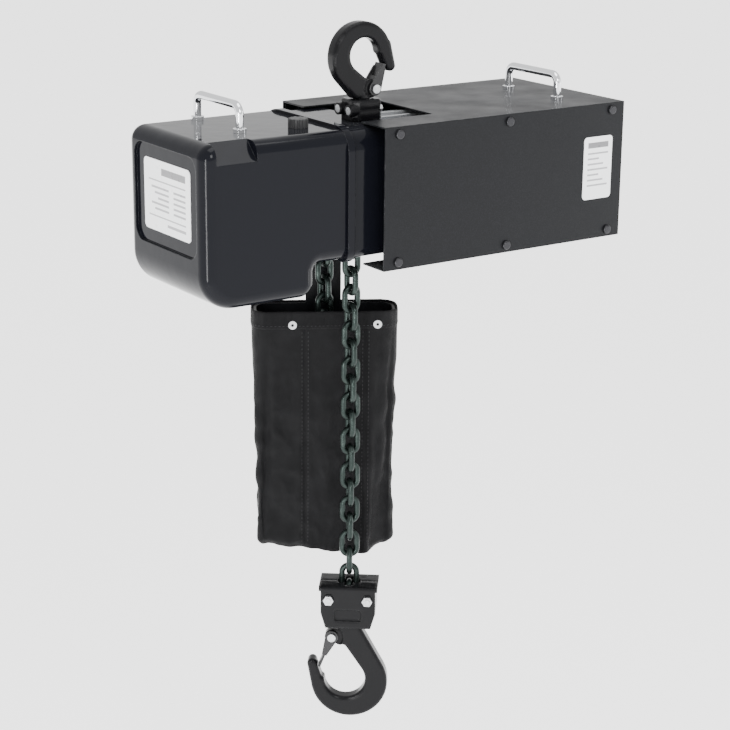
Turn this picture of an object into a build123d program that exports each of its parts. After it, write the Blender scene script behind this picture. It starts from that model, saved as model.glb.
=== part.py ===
from build123d import *
import os
from math import asin, atan, atan2, cos, degrees, hypot, pi, radians, sin, sqrt

# Electric chain hoist on a swivel top hook, in millimetres.
# The origin is the bearing point of the top hook, Z is its swivel axis, +X runs along the hoist
# towards the electrics box and the front of the hoist faces -Y.

os.makedirs("parts", exist_ok=True)

# Overall sizes
case_depth = 150
case_height = 128
case_length = 55
cover_length = 159
cover_height = 160
cover_step = 34
box_length = 304
box_depth = 186
box_height = 142.5
sheet = 1.5
hook_drop = 81
box_rise = 3

# Load chain, drive and gears
chain_wire = 6.2
chain_pitch = 19.1
chain_width = 21.5
pockets = 4
load_line_x = -10.5
drive_drop = 59
guided_links = 4
block_turn = -38
load_links = 20
slack_links = 14
gear_module = 1.5
motor_teeth = 11
lay_gear_teeth = 53
lay_pinion_teeth = 12
load_gear_teeth = 52
gear_width = 10
backlash = 0.2

# Clearances
fit = 0.05
gap = 0.35
wide_gap = 1

# Places worked out from the sizes
sheave_radius = chain_pitch / 2 / sin(pi / (2 * pockets))
slack_y = 2 * sheave_radius
drive_y = sheave_radius
case_top = -hook_drop
case_bottom = case_top - case_height
case_front = drive_y - case_depth / 2
case_back = drive_y + case_depth / 2
drive_z = case_top - drive_drop
chamber_half = chain_width / 2 + 2.75
case_x1 = load_line_x + chamber_half + 2
case_x0 = case_x1 - case_length
cover_x0 = case_x0 - cover_length
cover_bottom = case_top - cover_height
cover_step_x = case_x0 - cover_step
box_top = case_top + box_rise
box_bottom = box_top - box_height
box_front = drive_y - box_depth / 2
box_back = drive_y + box_depth / 2
box_x0 = case_x1 - 23
box_x1 = box_x0 + box_length
gear_distance = gear_module * (motor_teeth + lay_gear_teeth) / 2
layshaft_z = drive_z - gear_distance


def save(piece, name):
    piece.part.label = name
    export_step(piece.part, f"parts/{name}.step")


def round_bar(x0, x1, radius, z=drive_z, y=drive_y, bore=0, mode=Mode.ADD):
    """Round bar along X between two stations, with an optional bore."""
    with BuildSketch(Plane.YZ.offset(x0)) as section:
        with Locations((y, z)):
            Circle(radius)
            if bore:
                Circle(bore, mode=Mode.SUBTRACT)
    extrude(section.sketch, amount=x1 - x0, mode=mode)


# ---------------------------------------------------------------- gear case
case_radius = 22
case_foot_radius = 10
rib_width = 8
rib_height = 3
chamber_radius = 40
shaft_hole = 10.5
sheave_bearing_radius = 14
lay_bearing_radius = 10
rotor_bearing_radius = 11
bearing_width = 8
tenon_length = 14
tenon_width = 20
tenon_depth = 12
tenon_x = case_x1 - tenon_length / 2 - 5


def case_outline(grow=0.0):
    """End-on outline of the gear case, grown evenly."""
    with Locations((drive_y, (case_top + case_bottom) / 2)):
        Rectangle(case_depth + 2 * grow, case_height + 2 * grow)
    fillet(vertices().group_by(Axis.Y)[-1], case_radius + grow)
    fillet(vertices().group_by(Axis.Y)[0], case_foot_radius + grow)


with BuildPart() as gear_case:
    with BuildSketch(Plane.YZ.offset(case_x0)):
        case_outline()
    extrude(amount=case_length)
    with BuildSketch(Plane.YZ.offset(case_x0)):
        case_outline(rib_height)
    extrude(amount=rib_width)
    with BuildSketch(Plane.YZ.offset(load_line_x - chamber_half)):
        with Locations((drive_y, drive_z)):
            Circle(chamber_radius)
        for line_y in (0, slack_y):
            with Locations((line_y, (drive_z + case_bottom) / 2)):
                Rectangle(2 * chamber_half, drive_z - case_bottom)
    extrude(amount=2 * chamber_half, mode=Mode.SUBTRACT)
    round_bar(case_x0, case_x1, shaft_hole, mode=Mode.SUBTRACT)
    round_bar(case_x0, case_x0 + bearing_width, sheave_bearing_radius, mode=Mode.SUBTRACT)
    round_bar(case_x0, case_x0 + bearing_width, lay_bearing_radius, layshaft_z, mode=Mode.SUBTRACT)
    with BuildSketch(Plane.XY.offset(case_top)):
        with Locations((tenon_x, 0)):
            Rectangle(tenon_length, tenon_width)
    extrude(amount=-tenon_depth, mode=Mode.SUBTRACT)
save(gear_case, "gear_case")

# ---------------------------------------------------------------- chain guide
guide_height = 12
guide_slot_play = 1.2

with BuildPart() as chain_guide:
    with BuildSketch(Plane.XY.offset(case_bottom)):
        for line_y in (0, slack_y):
            with Locations((load_line_x, line_y)):
                Rectangle(2 * (chamber_half - fit), 2 * (chamber_half - fit))
        for line_y in (0, slack_y):
            with Locations((load_line_x, line_y)):
                Rectangle(
                    chain_width + 2 * guide_slot_play,
                    chain_wire + 2 * guide_slot_play,
                    mode=Mode.SUBTRACT,
                )
                Rectangle(
                    chain_wire + 2 * guide_slot_play,
                    chain_width + 2 * guide_slot_play,
                    mode=Mode.SUBTRACT,
                )
    extrude(amount=guide_height)
save(chain_guide, "chain_guide")

# ---------------------------------------------------------------- gear cover
cover_inset = 6
cover_edge_radius = 13
cover_shoulder = 15
cover_nose = 36
cover_heel = 15
cover_inner_corner = 7
scoop_width = 44
scoop_size = 19
scoop_inset = 14
core_chamfer = 24
panel_recess = 3
panel_width = 120
panel_height = 98
panel_radius = 14
panel_z = (case_top + cover_bottom) / 2 + 18


def cover_outline(inset=0.0):
    """Side outline of the cover: deep part with a round nose, and the step up to the gear case."""
    left = cover_x0 + inset
    step = cover_step_x - inset
    with BuildLine() as outline:
        Polyline(
            (left, case_top - inset),
            (case_x0, case_top - inset),
            (case_x0, case_bottom + inset),
            (step, case_bottom + inset),
            (step, cover_bottom + inset),
            (left, cover_bottom + inset),
            close=True,
        )
    make_face(outline.edges())
    for corner, radius in (
        ((left, case_top - inset), cover_shoulder - inset),
        ((left, cover_bottom + inset), cover_nose - inset),
        ((step, cover_bottom + inset), cover_heel - inset),
        ((step, case_bottom + inset), cover_inner_corner + inset),
    ):
        fillet(vertices().sort_by_distance(corner)[0], radius)


with BuildPart() as cover_core:
    with BuildSketch(Plane.XZ.offset(-case_back + cover_inset)):
        cover_outline(cover_inset)
    extrude(amount=case_depth - 2 * cover_inset)
    with BuildSketch(Plane.YZ.offset(cover_x0)):
        with Locations((drive_y, (case_top + cover_bottom) / 2)):
            Rectangle(case_depth - 2 * cover_inset, cover_height - 2 * cover_inset)
        chamfer(vertices().group_by(Axis.Y)[-1], core_chamfer)
    extrude(amount=cover_length, mode=Mode.INTERSECT)

with BuildPart() as gear_cover:
    with BuildSketch(Plane.XZ.offset(-case_back)):
        cover_outline()
    extrude(amount=case_depth)
    sides = gear_cover.faces().filter_by(Axis.Y)
    seam = gear_cover.faces().sort_by(Axis.X)[-1]
    rim = sides.edges().filter_by(lambda e: e not in seam.edges())
    fillet(rim, cover_edge_radius)
    add(cover_core.part, mode=Mode.SUBTRACT)
    with BuildSketch(Plane.YZ.offset(cover_x0)):
        with Locations((drive_y, panel_z)):
            RectangleRounded(panel_width, panel_height, panel_radius)
    extrude(amount=panel_recess, mode=Mode.SUBTRACT)
    with BuildSketch(Plane.YZ.offset(cover_x0 + scoop_inset)):
        with BuildLine():
            Polyline(
                (case_front - 1, case_top - scoop_size - 1),
                (case_front + scoop_size + 1, case_top + 1),
                (case_front - 1, case_top + 1),
                close=True,
            )
        make_face()
    extrude(amount=scoop_width, mode=Mode.SUBTRACT)
save(gear_cover, "gear_cover")

# ---------------------------------------------------------------- fittings on the cover
cap_radius = 10
cap_height = 9
cap_notches = 12
cap_x = case_x0 - 28
cap_y = -6
label_width = 90
label_height = 70
label_thick = 0.6

with BuildPart() as breather_cap:
    with BuildSketch(Plane.XY.offset(case_top)):
        with Locations((cap_x, cap_y)):
            Circle(cap_radius)
            with PolarLocations(cap_radius + 0.4, cap_notches):
                Circle(1.6, mode=Mode.SUBTRACT)
    extrude(amount=cap_height)
    chamfer(breather_cap.faces().sort_by(Axis.Z)[-1].edges(), 0.6)
save(breather_cap, "breather_cap")

with BuildPart() as end_label:
    with BuildSketch(Plane.YZ.offset(cover_x0 + panel_recess - label_thick)):
        with Locations((drive_y, panel_z)):
            RectangleRounded(label_width, label_height, 5)
    extrude(amount=label_thick)
save(end_label, "end_label")

# ---------------------------------------------------------------- carrying handles
handle_rod = 8
handle_span = 81
handle_rise = 26
handle_bend = 9
collar_radius = 6.5
collar_height = 4
cover_handle_x = -141
cover_handle_y = 39
box_handle_x = 230
box_handle_y = 15


def handle(x, y, z):
    """Bent rod handle that stands across the hoist."""
    with BuildPart() as bent_rod:
        with BuildLine() as route:
            FilletPolyline(
                (x, y - handle_span / 2, z),
                (x, y - handle_span / 2, z + handle_rise),
                (x, y + handle_span / 2, z + handle_rise),
                (x, y + handle_span / 2, z),
                radius=handle_bend,
            )
        with BuildSketch(Plane.XY.offset(z)) as section:
            with Locations((x, y - handle_span / 2)):
                Circle(handle_rod / 2)
        sweep(section.sketch, path=route.wire())
    return bent_rod


cover_handle = handle(cover_handle_x, cover_handle_y, case_top)
save(cover_handle, "cover_handle")
box_handle = handle(box_handle_x, box_handle_y, box_top)
save(box_handle, "box_handle")

with BuildPart() as handle_collars:
    for x, y, z in (
        (cover_handle_x, cover_handle_y, case_top),
        (box_handle_x, box_handle_y, box_top),
    ):
        with BuildSketch(Plane.XY.offset(z)):
            with Locations((x, y)):
                with GridLocations(0, handle_span, 1, 2):
                    Circle(collar_radius)
                    Circle(handle_rod / 2 + fit, mode=Mode.SUBTRACT)
        extrude(amount=collar_height)
save(handle_collars, "handle_collars")

# ---------------------------------------------------------------- electrics box
notch_x1 = box_x0 + 86
notch_margin = 41
floor_x0 = box_x0 + 42
front_flange = 36
lip = 12
screw_inset_x = 16.7
screw_inset_z = 7.7
screw_head = 4.75
screw_head_height = 2.8
screw_shank = 2.5
screw_length = 9
inlet_radius = 11
inlet_z = box_bottom + 32
shell_front = box_front + sheet
shell_back = box_back - sheet
floor_z = box_bottom + sheet
screw_places = [
    (x, z)
    for x in (box_x0 + screw_inset_x, (box_x0 + box_x1) / 2, box_x1 - screw_inset_x)
    for z in (box_bottom + screw_inset_z, box_top - screw_inset_z)
]

with BuildPart() as box_shell:
    with BuildSketch(Plane.XZ.offset(-shell_back)):
        with BuildLine():
            Polyline(
                (box_x0, box_top),
                (box_x1, box_top),
                (box_x1, floor_z),
                (floor_x0, floor_z),
                (floor_x0, floor_z + sheet),
                (box_x1 - sheet, floor_z + sheet),
                (box_x1 - sheet, box_top - sheet),
                (box_x0, box_top - sheet),
                close=True,
            )
        make_face()
    extrude(amount=shell_back - shell_front)
    with BuildSketch(Plane.XY.offset(box_top)):
        with Locations(((box_x0 + notch_x1) / 2, drive_y)):
            Rectangle(notch_x1 - box_x0, box_depth - 2 * notch_margin)
    extrude(amount=-sheet, mode=Mode.SUBTRACT)
    for lip_y in (shell_back, shell_front + sheet):
        with BuildSketch(Plane.XZ.offset(-lip_y)):
            with Locations(((box_x0 + box_x1) / 2, box_top - sheet - lip / 2)):
                Rectangle(box_length - 2 * sheet, lip)
            with Locations(((floor_x0 + box_x1) / 2, floor_z + sheet + lip / 2)):
                Rectangle(box_x1 - floor_x0 - 2 * sheet, lip)
        extrude(amount=sheet)
    with BuildSketch(Plane.XZ.offset(-shell_back)):
        with Locations(*screw_places):
            Circle(screw_shank + fit)
    extrude(amount=shell_back - shell_front, mode=Mode.SUBTRACT)
    round_bar(box_x1 - sheet, box_x1, inlet_radius, inlet_z, mode=Mode.SUBTRACT)
save(box_shell, "box_shell")


def side_panel(face_y, inward):
    """Flat side panel with a return flange along its lower edge."""
    with BuildPart() as panel:
        with BuildSketch(Plane.XZ.offset(-face_y)) as plate:
            with Locations(((box_x0 + box_x1) / 2, (box_top + box_bottom) / 2)):
                Rectangle(box_length, box_height)
            with Locations(*screw_places):
                Circle(screw_shank + fit, mode=Mode.SUBTRACT)
        extrude(plate.sketch, amount=-inward * sheet)
        with BuildSketch(Plane.XY.offset(box_bottom)) as flange:
            with Locations(((box_x0 + box_x1) / 2, face_y + inward * front_flange / 2)):
                Rectangle(box_length, front_flange)
        extrude(flange.sketch, amount=sheet)
    return panel


box_front_panel = side_panel(box_front, 1)
save(box_front_panel, "box_front_panel")
box_back_panel = side_panel(box_back, -1)
save(box_back_panel, "box_back_panel")

with BuildPart() as panel_screws:
    for face_y, outward in ((box_front, 1), (box_back, -1)):
        with BuildSketch(Plane.XZ.offset(-face_y)):
            with Locations(*screw_places):
                Circle(screw_head)
        extrude(amount=outward * screw_head_height)
        with BuildSketch(Plane.XZ.offset(-face_y)):
            with Locations(*screw_places):
                Circle(screw_shank)
        extrude(amount=-outward * screw_length)
    outer_faces = panel_screws.faces().filter_by(Axis.Y).group_by(Axis.Y)
    fillet((outer_faces[0] + outer_faces[-1]).edges(), 1.6)
save(panel_screws, "panel_screws")

box_label_width = 38
box_label_height = 66
box_label_x = box_x1 - 33.5
box_label_z = box_top - 67

with BuildPart() as box_label:
    with BuildSketch(Plane.XZ.offset(-box_front)):
        with Locations((box_label_x, box_label_z)):
            RectangleRounded(box_label_width, box_label_height, 4)
    extrude(amount=label_thick)
save(box_label, "box_label")

with BuildPart() as control_inlet:
    round_bar(box_x1 - 8, box_x1 + 14, inlet_radius - fit, inlet_z, bore=6)
    round_bar(box_x1, box_x1 + 7, inlet_radius + 3, inlet_z, bore=6)
    round_bar(box_x1 - sheet - 5, box_x1 - sheet, inlet_radius + 3, inlet_z, bore=inlet_radius - fit)
save(control_inlet, "control_inlet")

# ---------------------------------------------------------------- motor
motor_web = 17
motor_barrel_radius = 54
motor_bore = 46
fin_count = 28
fin_height = 4
fin_thick = 2.4
barrel_x0 = case_x1 + motor_web
barrel_x1 = barrel_x0 + 100
end_shield = 7
flange_margin = 8
stator_length = 64
stator_bore = 28.4
rotor_radius = 28
shaft_radius = 5
foot_x = barrel_x0 + 50
foot_length = 46
foot_width = 44

with BuildPart() as motor_housing:
    with BuildSketch(Plane.YZ.offset(case_x1)):
        with Locations((drive_y, (case_top + case_bottom) / 2)):
            RectangleRounded(case_depth - 2 * flange_margin, case_height - 6, 14)
    extrude(amount=8)
    round_bar(case_x1, barrel_x1, motor_barrel_radius)
    with BuildSketch(Plane.YZ.offset(barrel_x0)):
        with Locations((drive_y, drive_z)):
            with PolarLocations(motor_barrel_radius, fin_count):
                Rectangle(2 * fin_height, fin_thick)
    extrude(amount=barrel_x1 - barrel_x0 - 6)
    with BuildSketch(Plane.XY.offset(floor_z + sheet)):
        with Locations((foot_x, drive_y)):
            Rectangle(foot_length, foot_width)
    extrude(amount=drive_z - motor_bore - 2 - floor_z - sheet)
    round_bar(barrel_x0, barrel_x1, motor_bore, mode=Mode.SUBTRACT)
    round_bar(case_x1, barrel_x1, shaft_hole, mode=Mode.SUBTRACT)
    round_bar(case_x1, case_x1 + bearing_width, sheave_bearing_radius, mode=Mode.SUBTRACT)
save(motor_housing, "motor_housing")

stator_x0 = barrel_x0 + 18
with BuildPart() as stator:
    round_bar(stator_x0, stator_x0 + stator_length, motor_bore, bore=stator_bore)
    round_bar(stator_x0 - 12, stator_x0 + stator_length + 12, 41, bore=33)
save(stator, "stator")

fan_cover_x1 = barrel_x1 + end_shield + 27
with BuildPart() as motor_end_shield:
    round_bar(barrel_x1, barrel_x1 + end_shield, motor_barrel_radius, bore=rotor_bearing_radius)
save(motor_end_shield, "motor_end_shield")

with BuildPart() as fan_cover:
    round_bar(barrel_x1 + end_shield, fan_cover_x1, motor_barrel_radius)
    round_bar(barrel_x1 + end_shield, fan_cover_x1 - 1.5, motor_barrel_radius - 1.5, mode=Mode.SUBTRACT)
    with BuildSketch(Plane.YZ.offset(fan_cover_x1 - 1.5)):
        with Locations((drive_y, drive_z)):
            for ring, holes in ((16, 8), (27, 14), (38, 20)):
                with PolarLocations(ring, holes):
                    Circle(3)
    extrude(amount=1.5, mode=Mode.SUBTRACT)
save(fan_cover, "fan_cover")

# ---------------------------------------------------------------- rotor with its brake
plate_x1 = case_x0 - 60
plate_x0 = plate_x1 - 8
disc_radius = 36
disc_thick = 7
armature_thick = 5
brake_travel = 0.5
coil_length = 24
disc_x1 = plate_x0 - gap
disc_x0 = disc_x1 - disc_thick
armature_x1 = disc_x0 - gap
armature_x0 = armature_x1 - armature_thick
coil_x1 = armature_x0 - gap - brake_travel
coil_x0 = coil_x1 - coil_length
pillar_ring = 43
rotor_x0 = coil_x0 + 3
rotor_x1 = fan_cover_x1 - 6
fan_blades = 9

with BuildPart() as rotor_shaft:
    round_bar(rotor_x0, rotor_x1, shaft_radius)
save(rotor_shaft, "rotor_shaft")

with BuildPart() as rotor_core:
    round_bar(stator_x0, stator_x0 + stator_length, rotor_radius, bore=shaft_radius)
save(rotor_core, "rotor_core")

fan_x0 = barrel_x1 + end_shield + 4
with BuildPart() as fan:
    round_bar(fan_x0, fan_x0 + 14, 12, bore=shaft_radius)
    round_bar(fan_x0, fan_x0 + 2, 44, bore=shaft_radius)
    with BuildSketch(Plane.YZ.offset(fan_x0)):
        with Locations((drive_y, drive_z)):
            with PolarLocations(27, fan_blades):
                Rectangle(32, 2)
    extrude(amount=14)
save(fan, "fan")

with BuildPart() as brake_disc:
    round_bar(disc_x0, disc_x1, disc_radius, bore=shaft_radius)
save(brake_disc, "brake_disc")

with BuildPart() as brake_armature:
    round_bar(armature_x0, armature_x1, disc_radius, bore=shaft_radius + 3)
save(brake_armature, "brake_armature")

with BuildPart() as brake_coil:
    round_bar(coil_x0, coil_x1, pillar_ring + 5, bore=shaft_radius + 3)
    with BuildSketch(Plane.YZ.offset(coil_x1)):
        with Locations((drive_y, drive_z)):
            with PolarLocations(pillar_ring, 3, start_angle=30):
                Circle(4)
    extrude(amount=plate_x0 - coil_x1)
save(brake_coil, "brake_coil")

# ---------------------------------------------------------------- gear train
def gear_outline(teeth, phase, centre_z, module=gear_module):
    """Involute spur gear outline with a 20 degree pressure angle."""
    pitch_r = module * teeth / 2
    base_r = pitch_r * cos(radians(20))
    tip_r = pitch_r + 0.9 * module
    root_r = pitch_r - 1.2 * module
    roll_at_pitch = sqrt((pitch_r / base_r) ** 2 - 1)
    flank_at_pitch = roll_at_pitch - radians(20)
    half_tooth = (pi * module / 2 - backlash) / 2 / pitch_r
    start_r = max(base_r, root_r + 0.05)
    flank = []
    for step in range(4):
        r = start_r + (tip_r - start_r) * step / 3
        roll = sqrt((r / base_r) ** 2 - 1)
        flank.append((r, half_tooth + flank_at_pitch - (roll - atan(roll))))
    points = []
    for tooth in range(teeth):
        middle = radians(phase) + 2 * pi * tooth / teeth
        side = [(root_r, flank[0][1])] + flank
        tooth_line = [(r, -a) for r, a in side] + [(r, a) for r, a in reversed(side)]
        points += [(r * cos(middle + a), r * sin(middle + a)) for r, a in tooth_line]
    with BuildLine() as outline:
        Polyline(*points, close=True)
    with Locations((drive_y, centre_z)):
        add(make_face(outline.edges(), mode=Mode.PRIVATE))


def gear(x0, teeth, phase, centre_z, bore, width=gear_width):
    """Spur gear on an axis along X."""
    with BuildPart() as wheel:
        with BuildSketch(Plane.YZ.offset(x0)) as section:
            gear_outline(teeth, phase, centre_z)
            with Locations((drive_y, centre_z)):
                Circle(bore, mode=Mode.SUBTRACT)
        extrude(section.sketch, amount=width)
    return wheel


hollow_shaft_radius = 9
hollow_shaft_bore = 5.6
load_gear_x0 = case_x0 - 18
lay_gear_x0 = plate_x1 + 6
pinion_overhang = 1
bearing_play = 0.05

load_gear = gear(load_gear_x0, load_gear_teeth, -90, drive_z, hollow_shaft_radius)
save(load_gear, "load_gear")
layshaft_gear = gear(lay_gear_x0, lay_gear_teeth, 90 + 180 / lay_gear_teeth, layshaft_z, shaft_radius)
save(layshaft_gear, "layshaft_gear")
motor_pinion = gear(
    lay_gear_x0 - pinion_overhang,
    motor_teeth,
    -90,
    drive_z,
    shaft_radius,
    gear_width + 2 * pinion_overhang,
)
save(motor_pinion, "motor_pinion")
layshaft_pinion = gear(
    load_gear_x0 - pinion_overhang,
    lay_pinion_teeth,
    90 + 180 / lay_pinion_teeth,
    layshaft_z,
    shaft_radius,
    gear_width + 2 * pinion_overhang,
)
save(layshaft_pinion, "layshaft_pinion")

with BuildPart() as layshaft:
    round_bar(plate_x0, case_x0 + bearing_width, shaft_radius, layshaft_z)
save(layshaft, "layshaft")

sheave_shaft_x1 = case_x1 + bearing_width
with BuildPart() as sheave_shaft:
    round_bar(load_gear_x0 - 2, sheave_shaft_x1, hollow_shaft_radius, bore=hollow_shaft_bore)
save(sheave_shaft, "sheave_shaft")

with BuildPart() as bearing_plate:
    add(cover_core.part)
    with BuildSketch(Plane.YZ.offset(plate_x0)):
        with Locations((drive_y, (case_top + cover_bottom) / 2)):
            Rectangle(case_depth, cover_height)
        with Locations((drive_y, drive_z)):
            Circle(rotor_bearing_radius, mode=Mode.SUBTRACT)
        with Locations((drive_y, layshaft_z)):
            Circle(lay_bearing_radius, mode=Mode.SUBTRACT)
    extrude(amount=plate_x1 - plate_x0, mode=Mode.INTERSECT)
save(bearing_plate, "bearing_plate")

with BuildPart() as gearbox_bearings:
    for x0 in (case_x0, case_x1):
        round_bar(
            x0,
            x0 + bearing_width,
            sheave_bearing_radius,
            bore=hollow_shaft_radius + bearing_play,
        )
    for x0 in (case_x0, plate_x0):
        round_bar(
            x0,
            x0 + bearing_width,
            lay_bearing_radius,
            layshaft_z,
            bore=shaft_radius + bearing_play,
        )
save(gearbox_bearings, "gearbox_bearings")

with BuildPart() as rotor_bearings:
    for x0 in (plate_x0, barrel_x1):
        round_bar(x0, x0 + end_shield, rotor_bearing_radius, bore=shaft_radius + bearing_play)
save(rotor_bearings, "rotor_bearings")

# ---------------------------------------------------------------- load sheave
sheave_half = 11.5
hub_radius = 11.8
rim_radius = 18.2
groove_half = 4.4
tooth_radius = 24
tooth_width = 4

with BuildPart() as load_sheave:
    round_bar(
        load_line_x - sheave_half,
        load_line_x + sheave_half,
        hub_radius,
        bore=hollow_shaft_radius,
    )
    for side_x in (load_line_x - sheave_half, load_line_x + groove_half):
        with BuildSketch(Plane.YZ.offset(side_x)):
            with Locations((drive_y, drive_z)):
                Circle(rim_radius)
                with PolarLocations(tooth_radius / 2, pockets, start_angle=270 / pockets):
                    Rectangle(tooth_radius, tooth_width)
                Circle(hollow_shaft_radius, mode=Mode.SUBTRACT)
        extrude(amount=sheave_half - groove_half)
save(load_sheave, "load_sheave")

# ---------------------------------------------------------------- chain
link_play = 0.15
link_bend = (chain_width - chain_wire) / 2
link_straight = chain_pitch / 2 + link_play + chain_wire / 2 - link_bend

with BuildPart() as chain_link:
    with BuildLine() as link_line:
        right = Line((link_bend, 0, -link_straight), (link_bend, 0, link_straight))
        over = TangentArc(right @ 1, (-link_bend, 0, link_straight), tangent=right % 1)
        left = Line(over @ 1, (-link_bend, 0, -link_straight))
        TangentArc(left @ 1, right @ 0, tangent=left % 1)
    with BuildSketch(Plane.XY):
        with Locations((link_bend, 0)):
            Circle(chain_wire / 2)
    sweep(path=link_line.wire())

first_link_z = drive_z - chain_pitch / 2


def hang_links(line_y, first, count, turn_offset, twist=0.0):
    """Links of one straight fall, each turned a quarter turn against the one above it."""
    untwisted = first + 2
    for number in range(first, first + count):
        turn = 90 * ((number + turn_offset) % 2) + twist * max(0, number - untwisted)
        spot = Location((load_line_x, line_y, first_link_z - number * chain_pitch), (0, 0, turn))
        add(chain_link.part.moved(spot))


last_link = guided_links + load_links - 1
twist_per_link = block_turn / (last_link - guided_links - 2)

with BuildPart() as load_chain:
    hang_links(0, guided_links, load_links, 0, twist_per_link)
save(load_chain, "load_chain")

with BuildPart() as slack_chain:
    hang_links(slack_y, guided_links, slack_links, 1)
save(slack_chain, "slack_chain")

# Links inside the case: the guided ones on both falls and the ones wrapped round the sheave.
# Two links turn against each other about the end wire of the flat one, so round the sheave the
# flat links span a wider angle than the upright ones.
link_nest = chain_wire / 2 + link_play
hinge_radius = hypot(sheave_radius, link_nest)
upright_turn = 2 * degrees(asin((chain_pitch / 2 - link_nest) / hinge_radius))
flat_turn = 360 / pockets - upright_turn

with BuildPart() as guided_load_links:
    hang_links(0, 0, guided_links, 0)
save(guided_load_links, "guided_load_links")

with BuildPart() as guided_slack_links:
    hang_links(slack_y, 0, guided_links, 1)
save(guided_slack_links, "guided_slack_links")

with BuildPart() as wrapped_links:
    link_start = 180 - degrees(asin(link_nest / hinge_radius))
    for number in range(pockets):
        link_turn = flat_turn if number % 2 else upright_turn
        angle = link_start - link_turn / 2
        link_start -= link_turn
        wrap_radius = hinge_radius * cos(radians(link_turn / 2))
        wrap_y = drive_y + wrap_radius * cos(radians(angle))
        wrap_z = drive_z + wrap_radius * sin(radians(angle))
        quarter_turn = Rot(0, 0, 90 * ((number + 1) % 2))
        add(Pos(load_line_x, wrap_y, wrap_z) * Rot(angle, 0, 0) * quarter_turn * chain_link.part)
save(wrapped_links, "wrapped_links")

# ---------------------------------------------------------------- hooks
shank_radius = 8
ear_radius = 7.5
ear_half = 5
ear_pocket = 12.5
latch_sheet = 2
latch_gauge = 2.6
rivet_radius = 2.6
rivet_head = 4.4
rivet_head_height = 2.2
hook_edge = 3.2
hook_corner = 4
tip_reach = 0.95
tip_round = 0.36
shank_overlap = 4


def hook_blank(bowl, shift, back, crown, tip, neck_half, neck_top, ear, thick):
    """Forged hook in its own frame: bowl at the origin, shank upwards, tip at -X, flat on XZ.

    `shift` is the distance from the bowl's centre to the shank, `back`, `crown` and `tip` are the
    widths of the section behind, below and at the tip, and `ear` is the place of the latch rivet.
    """
    outer = (2 * bowl + back + tip) / 2
    outer_x = (back - tip) / 2
    outer_z = outer - bowl - crown
    tip_x = -bowl - tip * tip_reach
    tip_z = bowl * 0.75
    with BuildPart() as blank:
        with BuildSketch(Plane.XZ) as profile:
            with Locations((outer_x, outer_z)):
                Circle(outer)
            with Locations((shift, neck_top - 6)):
                Rectangle(2 * neck_half, 12)
            make_hull()
            with Locations((shift - neck_half, 0)):
                Rectangle(3 * outer, 3 * outer, align=(Align.MAX, Align.MIN), mode=Mode.SUBTRACT)
            with BuildSketch(mode=Mode.PRIVATE) as inside:
                Circle(bowl)
                with Locations((shift - neck_half + 4.5, ear[1] - 13)):
                    Circle(4.5)
                make_hull()
            add(inside.sketch, mode=Mode.SUBTRACT)
            with BuildSketch(mode=Mode.PRIVATE) as point:
                with Locations((tip_x, tip_z)):
                    Circle(tip * tip_round)
                with Locations((-bowl - tip / 2 + 0.5, -bowl * 0.45)):
                    Circle(tip / 2)
                make_hull()
            add(point.sketch)
            with BuildSketch(mode=Mode.PRIVATE) as lug:
                with Locations(ear):
                    Circle(ear_radius)
                with Locations((shift - neck_half + 2, ear[1])):
                    Rectangle(4, 2 * ear_radius)
                make_hull()
            add(lug.sketch)
            for step in (hook_corner, -2 * hook_corner, hook_corner):
                offset(amount=step, mode=Mode.REPLACE)
        extrude(profile.sketch, amount=thick / 2, both=True)
        flats = blank.faces().filter_by(Axis.Y)
        fillet(flats.edges(), hook_edge)
        for side in (-1, 1):
            with BuildSketch(Plane.XZ.offset(side * ear_half)) as pocket:
                with Locations(ear):
                    Circle(ear_pocket)
            extrude(pocket.sketch, amount=side * thick, mode=Mode.SUBTRACT)
        with BuildSketch(Plane.XZ) as rivet_hole:
            with Locations(ear):
                Circle(rivet_radius + fit)
        extrude(rivet_hole.sketch, amount=thick, both=True, mode=Mode.SUBTRACT)
    return blank.part


def latch_blank(ear, bowl, tip):
    """Folded latch in the hook's frame, from its rivet down to the inside of the tip."""
    across = ear[0] + bowl + tip * (tip_reach - tip_round) - gap - latch_gauge
    down = ear[1] - 0.6 * bowl
    reach = sqrt(across**2 + down**2)
    lean = degrees(atan2(across, down))
    cheek = ear_half + gap
    with BuildPart() as blank:
        with BuildSketch(Plane.XZ) as cheeks:
            Circle(ear_radius - 0.6)
            with Locations((0, -ear_pocket - 5)):
                Rectangle(2 * latch_gauge, 10)
            make_hull()
            Circle(rivet_radius + 2 * fit, mode=Mode.SUBTRACT)
        for side in (-1, 1):
            extrude(
                cheeks.sketch.moved(Location((0, side * cheek, 0))),
                amount=-side * latch_sheet,
            )
        with BuildSketch(Plane.XZ) as web:
            with Locations((0, -ear_pocket - 0.5)):
                Rectangle(latch_gauge, reach - ear_pocket - 0.5, align=(Align.CENTER, Align.MAX))
        extrude(web.sketch, amount=cheek + latch_sheet, both=True)
    return Pos(ear[0], 0, ear[1]) * Rot(0, lean, 0) * blank.part


def rivet_blank(ear):
    """Latch rivet with a head on each side."""
    outside = ear_half + gap + latch_sheet + gap
    with BuildPart() as blank:
        with BuildSketch(Plane.XZ) as shank:
            with Locations(ear):
                Circle(rivet_radius)
        extrude(shank.sketch, amount=outside, both=True)
        for side in (-1, 1):
            with BuildSketch(Plane.XZ.offset(side * outside)) as head:
                with Locations(ear):
                    Circle(rivet_head)
            extrude(head.sketch, amount=side * rivet_head_height)
    return blank.part


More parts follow.
